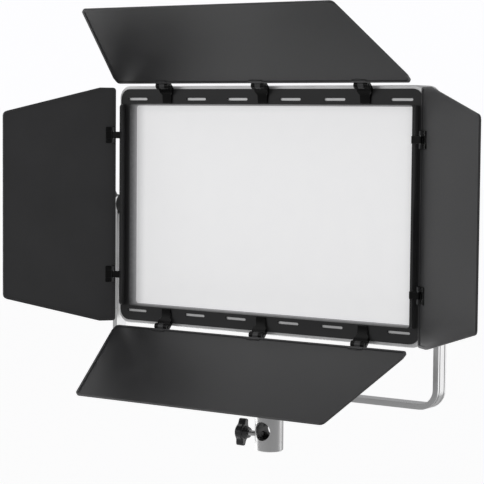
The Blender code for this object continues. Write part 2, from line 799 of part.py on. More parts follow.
def make_battery_side(side, name, head, finishes):
    """Battery plate with hooked rails, a contact block and a sprung release button."""
    start = COVER_BACK + GAP
    frame = empty(f"battery_{name}_frame", (side * PLATE_X, start, PLATE_Z), head)
    half_x, half_z, base = 0.0235, 0.0380, 0.0030
    notch_half, notch_top = 0.0070, -0.0280
    outline = rounded_rectangle(half_x, half_z, 0.0030, count=3)
    plate = prism(f"battery_plate_{name}", [outline], "XZ", 0.0, base)
    for edge in (-1, 1):
        web = sorted((edge * 0.0180, edge * 0.0208))
        hook = sorted((edge * 0.0158, edge * 0.0208))
        join(
            plate,
            box(f"web_{edge}", (web[0], base - 0.0005, -0.0300), (web[1], 0.0085, 0.0340)),
            box(f"hook_{edge}", (hook[0], 0.0070, -0.0300), (hook[1], 0.0085, 0.0340)),
        )
    join(plate, box("contacts", (-0.0070, base - 0.0005, 0.0250), (0.0070, 0.0075, 0.0340)))
    cut(plate, box("notch", (-notch_half, -0.0010, -half_z - 0.0010),
                   (notch_half, base + 0.0010, notch_top)))
    settle(plate, finishes["black_plastic"], frame)

    axis = empty(f"battery_release_{name}_axis", (0, 0, -0.0345), frame)
    button = box(f"battery_release_{name}", (-0.0065, 0.0003, -0.0030), (0.0065, 0.0055, 0.0037))
    bevel(button, 0.0006)
    settle(button, finishes["black_grip"], axis)


# ---------------------------------------------------------------- barn doors and hinges


def door_mesh(kind):
    """A hemmed sheet in its folded place: hinge axis on X, sheet towards -Z, face to +Y."""
    near, far, straight = kind["half_near"], kind["half_far"], kind["straight"]
    corners = [
        (near, -kind["start"]),
        (-near, -kind["start"]),
        (-near, -straight),
        (-far, -kind["depth"]),
        (far, -kind["depth"]),
        (near, -straight),
    ]
    radii = (0.0030, 0.0030, 0.0060, 0.0050, 0.0050, 0.0060)
    hem, sheet, middle = HEM_THICK / 2, SHEET_THICK / 2, -kind["offset"]
    outline = rounded_polygon(corners, radii)
    door = prism("door", [outline], "XZ", middle - hem, middle + hem)
    pocket = inset_outline(corners, radii)
    cut(
        door,
        prism("outer_pocket", [pocket], "XZ", middle - 2 * hem, middle - sheet),
        prism("inner_pocket", [pocket], "XZ", middle + sheet, middle + 2 * hem),
    )
    for i, x in enumerate(kind["hinges"]):
        add_knuckles(door, kind, i, x)
    return baked(door)


def add_knuckles(door, kind, index, x):
    """The door's share of one hinge: knuckles on webs, pads on the sheet, and the pin's hole."""
    middle, barrel = -kind["offset"], kind["barrel"]
    centre = (x, 0, 0)
    room = max(abs(end) for end in kind["knuckles"][0])
    if kind["offset"]:
        reach = (x - ARM_HALF - GAP, x + ARM_HALF + GAP)
        cut(door, cylinder(f"arm_room_{index}", barrel + 0.0004, *reach, centre, "X", 16))
    for j, (start, end) in enumerate(kind["knuckles"]):
        start, end = x + start, x + end
        web = ((start, middle - 0.0004, kind["web"][0]), (end, 0.0008, kind["web"][1]))
        join(
            door,
            box(f"web_{index}_{j}", *web),
            cylinder(f"knuckle_{index}_{j}", barrel, start, end, centre, "X", 16),
        )
        if kind["offset"]:
            add_pad(door, kind, f"pad_{index}_{j}", start, end)
    if not kind["offset"]:
        add_pad(door, kind, f"pad_{index}", x - kind["half"], x + kind["half"])
    reach = (x - room - 0.0010, x + room + 0.0010)
    cut(door, cylinder(f"pin_hole_{index}", kind["pin"] + GAP, *reach, centre, "X", 10))


def add_pad(door, kind, name, start, end):
    middle, sheet = -kind["offset"], SHEET_THICK / 2
    low, high = kind["pad"]
    join(door, box(name, (start, middle + sheet - 0.0003, low), (end, middle + 0.0014, high)))


def inset_outline(corners, radii):
    """The same rounded outline, drawn in by the hem's width."""
    total = len(corners)
    moved = []
    for i in range(total):
        here = Vector(corners[i])
        before = (here - Vector(corners[i - 1])).normalized()
        after = (Vector(corners[(i + 1) % total]) - here).normalized()
        left_before = Vector((-before.y, before.x))
        left_after = Vector((-after.y, after.x))
        corner = (left_before + left_after) / (1 + left_before.dot(left_after))
        moved.append(tuple(here + corner * HEM_WIDTH))
    return rounded_polygon(moved, [max(r - HEM_WIDTH, 0.0008) for r in radii])


def wide_strap_mesh():
    """Foot along the flange, then an S up to the barrel, split for the door's knuckle."""
    back = WIDE_AXIS_Y - GAP
    foot = OPENING_Z - WIDE_AXIS_Z + 0.0009
    shoulder = -0.0090
    profile = [(back, foot), (back - 0.0018, foot), (back - 0.0020, -0.0100)]
    profile += [(back - 0.0031, -0.0070), (0.0027, -0.0046)]
    profile += arc(0, 0, WIDE["barrel"], -60, -325, 10) + [(0.0060, -0.0012), (back, -0.0036)]
    half = WIDE["half"]
    strap = prism("strap", [profile], "YZ", -half, half)
    for vertex in strap.data.vertices:
        if vertex.co.z < shoulder:
            vertex.co.x *= 0.66
    split = WIDE["knuckles"][0][1] + 0.00035
    cut(strap, cylinder("knuckle_room", WIDE["barrel"] + 0.0004, -split, split, (0, 0, 0), "X", 16))
    return with_pin_hole(strap, WIDE["pin"], half)


def short_arm_mesh():
    """Arm from the rail out to the middle knuckle, with a leg down the rail's outer side."""
    barrel = SHORT["barrel"]
    rail_front = SHORT_AXIS_Y - RAIL_RISE - GAP
    rail_side = RAIL_OUTER + GAP - SHORT_AXIS_X
    foot = RAIL_INNER - SHORT_AXIS_X
    front, leg_end, leg = -0.0009, rail_front + 0.0048, rail_side + 0.0014
    profile = [(front, foot), (rail_front, foot), (rail_front, rail_side), (leg_end, rail_side)]
    profile += [(leg_end, leg), (rail_front, leg), (rail_front, -0.0016)]
    profile += arc(0, 0, barrel, -60, 210, 10)
    arm = prism("arm", [profile], "YZ", -ARM_HALF, ARM_HALF)
    return with_pin_hole(arm, SHORT["pin"], ARM_HALF)


def with_pin_hole(item, pin, half):
    reach = half + 0.0010
    cut(item, cylinder("pin_hole", pin + GAP, -reach, reach, (0, 0, 0), "X", 10))
    return baked(item)


def pin_mesh(kind):
    return baked(cylinder("pin", kind["pin"], -kind["half"], kind["half"], (0, 0, 0), "X", 10))


def make_doors(head, finishes):
    """Each side: name, axis place, turn about Y that brings the folded sheet inwards, meshes."""
    wide = (door_mesh(WIDE), wide_strap_mesh(), pin_mesh(WIDE), WIDE["hinges"])
    short = (door_mesh(SHORT), short_arm_mesh(), pin_mesh(SHORT), SHORT["hinges"])
    sides = {
        "top": ((0, -WIDE_AXIS_Y, WIDE_AXIS_Z), 0, wide),
        "bottom": ((0, -WIDE_AXIS_Y, -WIDE_AXIS_Z), 180, wide),
        "left": ((-SHORT_AXIS_X, -SHORT_AXIS_Y, 0), -90, short),
        "right": ((SHORT_AXIS_X, -SHORT_AXIS_Y, 0), 90, short),
    }
    for name, (place, turn, (door, strap, pin, hinges)) in sides.items():
        turn = math.radians(turn)
        fixed = empty(f"{name}_hinge_line", place, head, (0, turn, 0))
        opened = (math.radians(-DOOR_ANGLES[name]), turn, 0)
        axis = empty(f"{name}_door_axis", place, head, opened)
        leaf = new_object(f"{name}_door", door.copy())
        soften(leaf)
        settle(leaf, finishes["black_sheet"], axis)
        for i, x in enumerate(hinges, 1):
            made = new_object(f"{name}_hinge_strap_{i}", strap.copy())
            soften(made)
            settle(made, finishes["hinge_black"], fixed, (x, 0, 0))
            made = new_object(f"{name}_hinge_pin_{i}", pin.copy())
            soften(made)
            settle(made, finishes["steel"], fixed, (x, 0, 0))


# ---------------------------------------------------------------- the whole light


def main():
    clear_scene()
    finishes = make_materials()
    make_yoke(finishes["satin_aluminium"])
    make_receiver(finishes["satin_aluminium"])
    make_bolt(finishes["steel"])
    make_clamp(finishes)

    pivot = empty("tilt_axis", (0, 0, PIVOT_HEIGHT))
    for side, name in ((-1, "left"), (1, "right")):
        make_tilt_side(side, name, pivot, finishes)

    head = empty("head_frame", (0, -PIVOT_DEPTH, 0), pivot)
    make_front_housing(head, finishes["silver_paint"])
    make_barn_door_frame(head, finishes["black_frame"])
    make_bezel(head, finishes["grey_plastic"])
    make_light_engine(head, finishes)
    make_rear_cover(head, finishes["silver_paint"])
    make_driver_board(head, finishes["circuit_board"])
    make_control_panel(head, finishes["black_frame"])
    make_controls(head, finishes)
    for side, name in ((-1, "left"), (1, "right")):
        make_battery_side(side, name, head, finishes)
    make_doors(head, finishes)
    bpy.context.view_layer.update()


main()
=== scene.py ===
"""Looks of an LED panel light with four barn doors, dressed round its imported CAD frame.

Metres, +Z up; the lamp faces -Y, in a yoke above its stand receiver at the origin. Every CAD
node keeps its mesh and gets rounded edges and a finish. The clamp's thread, the knobs, screw
heads and other small parts are built here and ride on the CAD's bodies.
"""

import json
import math
from fnmatch import fnmatch

import bmesh
import bpy
from mathutils import Matrix, Vector


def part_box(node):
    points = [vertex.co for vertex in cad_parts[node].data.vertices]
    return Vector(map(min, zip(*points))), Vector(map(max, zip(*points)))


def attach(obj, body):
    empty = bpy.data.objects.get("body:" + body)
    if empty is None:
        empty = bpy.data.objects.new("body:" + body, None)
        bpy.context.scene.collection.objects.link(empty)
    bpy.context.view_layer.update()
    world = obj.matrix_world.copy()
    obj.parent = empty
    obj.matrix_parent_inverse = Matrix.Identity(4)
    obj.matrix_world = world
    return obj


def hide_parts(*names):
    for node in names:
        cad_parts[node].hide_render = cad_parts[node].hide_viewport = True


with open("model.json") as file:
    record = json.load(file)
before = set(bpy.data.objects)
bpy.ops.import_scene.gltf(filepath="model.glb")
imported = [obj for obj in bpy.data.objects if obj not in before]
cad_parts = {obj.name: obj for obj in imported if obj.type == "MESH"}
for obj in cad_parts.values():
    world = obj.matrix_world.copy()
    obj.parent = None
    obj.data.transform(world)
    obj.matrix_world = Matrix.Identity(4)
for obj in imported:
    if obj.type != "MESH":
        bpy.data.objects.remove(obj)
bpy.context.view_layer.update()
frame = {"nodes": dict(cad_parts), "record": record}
NODES = frame["nodes"]


# ---------------------------------------------------------------- measures of the CAD and the studio


YOKE_THICK = 0.0055
BAR_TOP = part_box("yoke")[0].z + YOKE_THICK
ARM_BLEND = 0.012  # height over which the bar's brushing gives way to the arms'
CROSS_HOLE_HEIGHT = 0.0207
CROSS_HOLE_SHADE = 0.00834  # radii within which the receiver counts as inside a hole and takes painted shade
BORE_SHADE = 0.0088
CLAMP_PITCH = 0.00125
LIGHTS_AIM = (0.0, -0.02, 0.22)
FLOOR_HEIGHT = -1.0
BACKWARDS = (0, 1, 0)


# ---------------------------------------------------------------- finishes


# Every finish by name. Printed marks have no grain, so they take the frame's own plain white.
FINISHES = {"printed_white": bpy.data.materials["white_plastic"]}


def grey(level):
    """Neutral colour of the given brightness."""
    return (level, level, level)


class Finish:
    """A material under construction, with shorthands for the nodes of its surface detail."""

    def __init__(self, name, colour, roughness, metallic=0.0, **sockets):
        self.material = FINISHES[name] = bpy.data.materials.new(name)
        self.material.use_nodes = True
        self.tree = self.material.node_tree
        self.shader = self.tree.nodes["Principled BSDF"]
        self.shader.inputs["Base Color"].default_value = (*colour, 1.0)
        self.shader.inputs["Roughness"].default_value = roughness
        self.shader.inputs["Metallic"].default_value = metallic
        for socket, value in sockets.items():
            self.shader.inputs[socket.replace("_", " ")].default_value = value
        self.place = self.add("ShaderNodeTexCoord").outputs["Object"]

    def add(self, kind, settings=(), **inputs):
        """Add a node; an input is named, or i and its number, and is a value or an output."""
        node = self.tree.nodes.new(kind)
        for key, value in dict(settings).items():
            setattr(node, key, value)
        for key, value in inputs.items():
            numbered = key[0] == "i" and key[1:].isdigit()
            socket = node.inputs[int(key[1:]) if numbered else key]
            if isinstance(value, bpy.types.NodeSocket):
                self.tree.links.new(value, socket)
            else:
                socket.default_value = value
        return node

    def place_along(self, axis):
        """The surface point's own X, Y or Z."""
        return self.add("ShaderNodeSeparateXYZ", i0=self.place).outputs[axis]

    def grain(self, size, stretch=(1, 1, 1), detail=2.0, roughness=0.55):
        """Noise of the given feature size, drawn out along the axes that stretch names."""
        scale = [1 / (size * times) for times in stretch]
        scaled = self.add("ShaderNodeMapping", i0=self.place, Scale=scale)
        settings = {"Vector": scaled.outputs[0], "Scale": 1.0, "Detail": detail, "Roughness": roughness}
        return self.add("ShaderNodeTexNoise", **settings).outputs["Fac"]

    def spread(self, value, low, high, start=0.3, end=0.7):
        """Map start...end, by default the middle range of a noise, to low...high."""
        ranged = self.add("ShaderNodeMapRange", i0=value, i1=start, i2=end, i3=low, i4=high)
        return ranged.outputs[0]

    def maths(self, operation, a, b=0.0):
        return self.add("ShaderNodeMath", {"operation": operation}, i0=a, i1=b).outputs[0]

    def distance(self, across, up):
        """Distance from the line on which both measures are nought."""
        squares = [self.maths("POWER", side, 2.0) for side in (across, up)]
        return self.maths("SQRT", self.maths("ADD", *squares))

    def blend(self, share, first, second):
        """Mix two colours, each a plain colour or an output."""
        colours = [(*c, 1.0) if isinstance(c, tuple) else c for c in (first, second)]
        mixed = self.add("ShaderNodeMix", {"data_type": "RGBA"}, i0=share, i6=colours[0], i7=colours[1])
        return mixed.outputs[2]

    def relief(self, height, depth):
        """Bump the surface by depth metres over the range of height."""
        return self.add("ShaderNodeBump", Height=height, Distance=depth, Strength=1.0).outputs["Normal"]

    def edges(self, radius):
        """1 on edges that rub and chip, 0 on flat faces."""
        rounded = self.add("ShaderNodeBevel", {"samples": 6}, Radius=radius).outputs["Normal"]
        true = self.add("ShaderNodeNewGeometry").outputs["Normal"]
        aligned = self.add("ShaderNodeVectorMath", {"operation": "DOT_PRODUCT"}, i0=rounded, i1=true)
        return self.spread(aligned.outputs["Value"], 1.0, 0.0, 0.93, 0.995)

    def use(self, **outputs):
        """Link outputs to the shader's sockets."""
        for socket, value in outputs.items():
            self.tree.links.new(value, self.shader.inputs[socket.replace("_", " ")])


def coated_metal(name, colour, worn, roughness, peel=0.00035, wear=0.35, specular=0.5, metallic=0.0):
    """Sprayed satin paint: fine orange peel, faint cloudiness, edges rubbed a little brighter."""
    finish = Finish(name, colour, roughness, metallic, Specular_IOR_Level=specular)
    cloud = finish.grain(0.045, detail=4.0)
    dust = finish.grain(0.0011, detail=3.0)
    chips = finish.spread(finish.grain(0.0032, detail=5.0), 0.0, wear, 0.42, 0.66)
    rubbed = finish.maths("MULTIPLY", finish.edges(0.0006), chips)
    shade = tuple(c * 1.28 for c in colour)
    base = finish.blend(finish.spread(cloud, 0.0, 1.0), colour, shade)
    base = finish.blend(rubbed, base, worn)
    rough = finish.maths("ADD", finish.spread(cloud, -0.035, 0.035), finish.spread(dust, -0.03, 0.03))
    rough = finish.maths("ADD", rough, roughness)
    normal = finish.relief(finish.grain(peel, detail=1.0), 0.000009)
    finish.use(Base_Color=base, Roughness=rough, Normal=normal)


def brushed_metal(name, colour, roughness, stretch, bar_stretch=None):
    """Metal brushed along the axis that stretch draws out; bar_stretch is the yoke bar's own."""
    finish = Finish(name, colour, roughness, 1.0)
    stretches = [stretch, bar_stretch] if bar_stretch else [stretch]
    lines = [finish.grain(0.00016, way, detail=4.0, roughness=0.7) for way in stretches]
    brushing = lines[0]
    if bar_stretch:
        height = finish.place_along("Z")
        above = finish.add("ShaderNodeMapRange", i0=height, i1=BAR_TOP, i2=BAR_TOP + ARM_BLEND)
        mixed = finish.add("ShaderNodeMix", i0=above.outputs[0], i2=lines[1], i3=lines[0])
        brushing = mixed.outputs[0]
    cloud = finish.spread(finish.grain(0.03, detail=3.0), -0.03, 0.03)
    rough = finish.maths("ADD", finish.spread(brushing, roughness - 0.07, roughness + 0.07), cloud)
    shade = tuple(c * 0.86 for c in colour)
    base = finish.blend(finish.spread(brushing, 0.0, 1.0), shade, colour)
    finish.use(Base_Color=base, Roughness=rough, Normal=finish.relief(brushing, 0.000004))


def hole_shade_mask(finish, parts, radius):
    """Mask of painted shade: 1 in the receiver's bore and in its cross hole along Y, 0 elsewhere."""
    level = finish.maths("SUBTRACT", parts["Z"], CROSS_HOLE_HEIGHT)
    reach = finish.distance(parts["X"], level)
    in_bore = finish.maths("LESS_THAN", radius, BORE_SHADE)
    in_cross_hole = finish.maths("LESS_THAN", reach, CROSS_HOLE_SHADE)
    return finish.maths("MAXIMUM", in_bore, in_cross_hole)


def turned_metal(name, colour, roughness, axis="Z", shaded_holes=False):
    """Lathe-turned metal: fine rings about the axis; the receiver gets painted shade, dark grey, inside
    its bore and cross hole.
    """
    finish = Finish(name, colour, roughness, 1.0)
    parts = finish.add("ShaderNodeSeparateXYZ", i0=finish.place).outputs
    radius = finish.distance(*(parts[k] for k in "XYZ" if k != axis))
    along = finish.maths("ADD", parts[axis], radius)
    settings = {"noise_dimensions": "1D"}
    rings = finish.add("ShaderNodeTexNoise", settings, W=along, Scale=9000.0, Detail=3.0).outputs["Fac"]
    broad = finish.spread(finish.grain(0.011, (1, 1, 0.35), detail=3.0), -0.04, 0.04)
    rough = finish.maths("ADD", finish.spread(rings, roughness - 0.05, roughness + 0.08), broad)
    base = finish.blend(finish.spread(rings, 0.0, 1.0), tuple(c * 0.84 for c in colour), colour)
    if shaded_holes:
        # painted shade: dark grey inside the receiver's bore and cross hole
        base = finish.blend(hole_shade_mask(finish, parts, radius), base, grey(0.045))
    finish.use(Base_Color=base, Roughness=rough, Normal=finish.relief(rings, 0.000005))


def moulded_plastic(name, colour, roughness, texture=0.00045, depth=0.00001):
    """Moulded plastic with a fine spark-eroded texture and faint handling marks."""
    finish = Finish(name, colour, roughness)
    fine = finish.grain(texture)
    smear = finish.grain(0.009, (1, 1, 2.5), detail=4.0)
    handled = tuple(c * 1.35 + 0.002 for c in colour)
    base = finish.blend(finish.spread(smear, 0.0, 1.0), colour, handled)
    rough = finish.spread(smear, roughness - 0.06, roughness + 0.07)
    finish.use(Base_Color=base, Roughness=rough, Normal=finish.relief(fine, depth))


def glow_painted_bezel(name):
    """Grey plastic with the diffuser's glow painted on: darker at its front, lighter towards its back.
    """
    finish = Finish(name, (0.20, 0.20, 0.205), 0.5)
    front, back = (corner.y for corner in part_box("window_bezel"))
    depth = finish.spread(finish.place_along("Y"), 0.0, 1.0, front, back)
    # painted light: the diffuser's glow, stronger towards the bezel's back
    glow = finish.maths("POWER", depth, 1.6)
    marks = finish.spread(finish.grain(0.004, detail=3.0), -0.04, 0.04)
    base = finish.blend(finish.maths("ADD", glow, marks), (0.085, 0.085, 0.087), (0.60, 0.60, 0.61))
    finish.use(Base_Color=base, Normal=finish.relief(finish.grain(0.0006), 0.000006))


def diffuser_sheet(name):
    """Opal acrylic: silky, faintly mottled, glowing less near the frame's sides as painted shade from
    the frame.
    """
    shaded_margin, shade_fade = 0.0055, 0.0120  # painted shade of the frame: dimmest strip at the sheet's edge, and the fall-off beside it
    opal = (0.80, 0.80, 0.81)
    finish = Finish(name, opal, 0.5, Specular_IOR_Level=0.35, Emission_Color=(1.0, 1.0, 1.0, 1.0))
    base = finish.blend(finish.spread(finish.grain(0.012), 0.0, 1.0), opal, (0.83, 0.83, 0.835))
    normal = finish.relief(finish.grain(0.0004, detail=1.0), 0.000006)
    across = finish.maths("ABSOLUTE", finish.place_along("X"))
    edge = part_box("diffuser")[1].x - shaded_margin
    soft = {"interpolation_type": "SMOOTHSTEP"}
    # painted shade: the glow falls from 0.40 to 0.27 towards the sheet's sides
    glow = finish.add("ShaderNodeMapRange", soft, i0=across, i1=edge - shade_fade, i2=edge, i3=0.40, i4=0.27)
    finish.use(Base_Color=base, Normal=normal, Emission_Strength=glow.outputs[0])


def make_finishes():
    """Every finish of the lamp."""
    coated_metal("door_paint", (0.031, 0.031, 0.032), grey(0.11), 0.42)
    coated_metal("frame_paint", (0.024, 0.024, 0.0245), grey(0.09), 0.45, specular=0.26)
    coated_metal("hinge_paint", grey(0.004), grey(0.12), 0.16, peel=0.0005, wear=0.5, specular=0.12)
    coated_metal("silver_paint", grey(0.62), grey(0.75), 0.34, metallic=0.55)
    brushed_metal("anodised_yoke", grey(0.72), 0.32, (1, 1, 60), (60, 1, 1))
    brushed_metal("spreader_metal", grey(0.72), 0.35, (60, 1, 1))
    turned_metal("turned_receiver", grey(0.62), 0.38, shaded_holes=True)
    turned_metal("turned_steel", grey(0.60), 0.20, axis="X")
    # dark steel for the clamp's tip: painted shade, as the tip sits in the receiver's bore
    turned_metal("shaded_tip_steel", grey(0.06), 0.45, axis="X")
    turned_metal("turned_brass", (0.70, 0.50, 0.20), 0.30, axis="X")
    glow_painted_bezel("bezel_painted_glow")
    diffuser_sheet("opal_diffuser")
    moulded_plastic("knob_plastic", (0.022, 0.022, 0.023), 0.24)
    moulded_plastic("gloss_plastic", grey(0.012), 0.18, 0.0008, 0.000004)
    moulded_plastic("plate_plastic", grey(0.022), 0.45)
    moulded_plastic("washer_rubber", grey(0.02), 0.75, 0.0006, 0.00003)
    moulded_plastic("white_plastic", grey(0.74), 0.40)
    moulded_plastic("circuit_board", (0.03, 0.16, 0.07), 0.35)
    moulded_plastic("display_glass", (0.004, 0.005, 0.006), 0.06, 0.002, 0.000001)


make_finishes()


# ---------------------------------------------------------------- CAD nodes


def dress(item, finish, width, segments, angle):
    """Give a CAD node its finish, clean shading and, if width isn't nought, rounded edges."""
    item.data.materials.clear()
    item.data.materials.append(FINISHES[finish])
    weld = item.modifiers.new("weld", "WELD")
    weld.merge_threshold = 0.000002
    flat = item.modifiers.new("flat", "DECIMATE")
    flat.decimate_type = "DISSOLVE"
    flat.angle_limit = math.radians(0.6)
    if width:
        bevel = item.modifiers.new("edges", "BEVEL")
        bevel.width = width
        bevel.segments = segments
        bevel.limit_method = "ANGLE"
        bevel.angle_limit = math.radians(angle)
    item.modifiers.new("normals", "WEIGHTED_NORMAL").keep_sharp = True
    item.data.shade_smooth()


def dress_cad():
    """Dress each CAD node; a star in a name stands for any letters."""
    for pattern, finish, width, segments, angle in (
        # nodes, finish, width of the rounded edge, its segments, least angle of an edge
        ("*_door", "door_paint", 0.0005, 3, 35),
        ("*_hinge_strap_*", "hinge_paint", 0.0004, 2, 50),
        ("*_hinge_pin_*", "turned_steel", 0.0, 0, 0),
        ("barn_door_frame", "frame_paint", 0.0004, 2, 50),
        ("window_bezel", "bezel_painted_glow", 0.0002, 2, 50),
        ("front_housing", "silver_paint", 0.0003, 2, 50),
        ("rear_cover", "silver_paint", 0.0004, 2, 50),
        ("yoke", "anodised_yoke", 0.0003, 2, 50),
        ("stand_receiver", "turned_receiver", 0.0002, 2, 60),
        ("receiver_bolt", "turned_steel", 0.0002, 2, 35),
        ("clamp_screw", "turned_steel", 0.0002, 1, 60),
        # the clamp's tip takes painted shade, dark steel, where it sits in the receiver's bore
        ("clamp_tip", "shaded_tip_steel", 0.0002, 1, 60),
        ("clamp_knob", "knob_plastic", 0.0006, 3, 40),
        ("friction_washer_*", "washer_rubber", 0.0003, 2, 60),
        ("tilt_screw_*", "turned_steel", 0.0002, 1, 60),
        ("tilt_knob_*", "knob_plastic", 0.0004, 2, 50),
        ("battery_plate_*", "plate_plastic", 0.0003, 2, 35),
        ("battery_release_*", "knob_plastic", 0.0002, 2, 35),
        ("diffuser", "opal_diffuser", 0.0003, 2, 35),
        ("light_box", "white_plastic", 0.0003, 2, 35),
        ("led_board", "white_plastic", 0.0, 0, 0),
        ("heat_spreader", "spreader_metal", 0.0002, 2, 35),
        ("driver_board", "circuit_board", 0.0002, 2, 35),
        ("control_panel", "frame_paint", 0.0004, 2, 50),
        ("display_window", "display_glass", 0.0003, 2, 35),
        ("dimmer_knob", "knob_plastic", 0.0003, 2, 50),
        ("colour_knob", "knob_plastic", 0.0003, 2, 50),
        ("menu_button", "knob_plastic", 0.0002, 2, 35),
        ("power_socket", "gloss_plastic", 0.0002, 2, 50),
        ("power_switch", "gloss_plastic", 0.0004, 2, 35),
    ):
        for name in NODES:
            if fnmatch(name, pattern):
                dress(NODES[name], finish, width, segments, angle)


dress_cad()


# ---------------------------------------------------------------- pieces built here


def add_piece(name, work, finish, body, matrix, bevel=0.0):
    """Turn a bmesh, placed by matrix, into a piece with smooth shading that rides on a body."""
    bmesh.ops.transform(work, matrix=matrix, verts=work.verts)
    bmesh.ops.recalc_face_normals(work, faces=work.faces)
    mesh = bpy.data.meshes.new(name)
    work.to_mesh(mesh)
    work.free()
    mesh.materials.append(FINISHES[finish])
    item = bpy.data.objects.new(name, mesh)
    bpy.context.scene.collection.objects.link(item)
    if bevel:
        edges = item.modifiers.new("edges", "BEVEL")
        edges.width = bevel
        edges.segments = 2
        edges.limit_method = "ANGLE"
        edges.angle_limit = math.radians(35)
    item.modifiers.new("normals", "WEIGHTED_NORMAL").keep_sharp = True
    mesh.shade_smooth()
    mesh.set_sharp_from_angle(angle=math.radians(50))
    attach(item, body)
    return item


def facing(place, outward, turn=0.0):
    """Matrix that puts Z along outward at a place, turned about it by turn degrees."""
    aim = Vector(outward).to_track_quat("Z", "Y").to_matrix().to_4x4()
    return Matrix.Translation(place) @ aim @ Matrix.Rotation(math.radians(turn), 4, "Z")


def stacked(sections):
    """Closed solid from rings of equal count, each a list of 3-D points, capped at both ends."""
    work = bmesh.new()
    rings = [[work.verts.new(point) for point in section] for section in sections]
    count = len(rings[0])
    for lower, upper in zip(rings, rings[1:]):
        for i in range(count):
            j = (i + 1) % count
            work.faces.new((lower[i], lower[j], upper[j], upper[i]))
    work.faces.new(rings[0])
    work.faces.new(rings[-1])
    return work


def circle(count):
    """Evenly spaced directions all round, in radians."""
    return [2 * math.pi * i / count for i in range(count)]


def ring(radius, height, count=32):
    """Level circle of points round Z."""
    return [(radius * math.cos(turn), radius * math.sin(turn), height) for turn in circle(count)]


def domed(radius, profile, count):
    """Round solid along Z from (share of the radius, height) pairs."""
    return stacked([ring(radius * share, height, count) for share, height in profile])


def slab(half_x, half_y, low, high, corner):
    """Plate with rounded corners, lying flat."""
    steps = 4
    outline = []
    for k, (sx, sy) in enumerate(((1, 1), (-1, 1), (-1, -1), (1, -1))):
        for i in range(steps + 1):
            turn = math.radians(90 * k + 90 * i / steps)
            x = sx * (half_x - corner) + corner * math.cos(turn)
            y = sy * (half_y - corner) + corner * math.sin(turn)
            outline.append((x, y))
    return stacked([[(x, y, z) for x, y in outline] for z in (low, high)])


def threaded(radius, low, high, depth):
    """Screw with a real helical thread along Z and a chamfered lower end."""
    count, steps_per_turn, chamfer_slope = 20, 6, 1.2
    sections = []
    total = round((high - low) / CLAMP_PITCH * steps_per_turn)
    for k in range(total + 1):
        height = low + (high - low) * k / total
        section = []
        for i, turn in enumerate(circle(count)):
            phase = (height / CLAMP_PITCH - i / count) % 1.0
            crest = 1.0 - abs(2.0 * phase - 1.0)
            reach = radius - depth * (1.0 - crest)
            reach = min(reach, radius - depth + (height - low) * chamfer_slope)
            section.append((reach * math.cos(turn), reach * math.sin(turn), height))
        sections.append(section)
    return stacked(sections)


# ---------------------------------------------------------------- knobs


def polar(radius_at):
    """Outline of (x, y) points from a radius for each direction."""
    return [(radius_at(turn) * math.cos(turn), radius_at(turn) * math.sin(turn)) for turn in circle(96)]


def six_lobes(turn):
    """A round grip with six shallow finger hollows."""
    outer, hollow, sharpness = 0.0143, 0.0030, 1.2
    return outer - hollow * (0.5 - 0.5 * math.cos(6 * turn)) ** sharpness


def two_wings(turn):
    """A round hub with a broad wing on each side along Y."""
    blend, hub, half_width, half_length = 6, 0.0086, 0.0038, 0.0138
    across, along = abs(math.cos(turn)) / half_width, abs(math.sin(turn)) / half_length
    wing = (across**blend + along**blend) ** (-1 / blend)
    return (hub**blend + wing**blend) ** (1 / blend)


def drawn_in(outline, inset, height):
    """The outline as a level ring, moved inwards by inset along its own normals."""
    section = []
    for i, here in enumerate(outline):
        before, after = Vector(outline[i - 1]), Vector(outline[(i + 1) % len(outline)])
        along = (after - before).normalized()
        section.append((here[0] - inset * along.y, here[1] + inset * along.x, height))
    return section


def shoulder(height, edge):
    """(height, inset) pairs round a quarter circle that ends in a flat face at height."""
    turns = [math.radians(18 * i) for i in range(6)]
    return [(height - edge + edge * math.sin(turn), edge * (1 - math.cos(turn))) for turn in turns]


def shaped_knob(node, body, radius_at, thick, collar, turn):
    """Softly rounded knob on an X axis, with a collar behind, in place of a CAD node."""
    low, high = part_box(node)
    sign = -1 if low.x < 0 else 1
    face, end = (-low.x, -high.x) if sign < 0 else (high.x, low.x)
    back, edge = face - thick, 0.0020
    profile = [(back - height, inset) for height, inset in reversed(shoulder(0.0, edge))]
    profile += shoulder(face, edge)
    outline = polar(radius_at)
    sections = [drawn_in(outline, inset, height) for height, inset in profile]
    place = (0, (low.y + high.y) / 2, (low.z + high.z) / 2)
    matrix = facing(place, (sign, 0, 0), turn)
    name = node.replace("knob", "grip")
    grip = add_piece(name, stacked(sections), "knob_plastic", body, matrix)
    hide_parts(node)

    wide, narrow = collar
    flare, step, chamfer, inner = 0.0012, 0.0006, 0.0005, 0.0034
    steps = (
        (wide + flare, back + flare),
        (wide, back - step),
        (narrow, end + step),
        (narrow - chamfer, end),
        (inner, end),
    )
    work = stacked([ring(radius, height) for radius, height in steps])
    add_piece(f"{name}_collar", work, "knob_plastic", body, matrix)


def make_clamp():
    """Threaded clamp screw with its winged knob."""
    low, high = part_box("clamp_screw")
    radius = (high.z - low.z) / 2
    screw = threaded(radius, -high.x, -low.x, 0.0006)
    matrix = facing((0, (low.y + high.y) / 2, (low.z + high.z) / 2), (-1, 0, 0))
    item = add_piece("clamp_thread", screw, "turned_steel", "clamp_screw", matrix)
    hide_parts("clamp_screw")
    shaped_knob("clamp_knob", "clamp_screw", two_wings, 0.0087, (0.0064, 0.0054), 12)


def make_tilt_knobs():
    """Lobed knob on each tilt screw."""
    for side in ("left", "right"):
        name = f"tilt_knob_{side}"
        shaped_knob(name, name, six_lobes, 0.0130, (0.0080, 0.0075), 90)


# ---------------------------------------------------------------- small parts


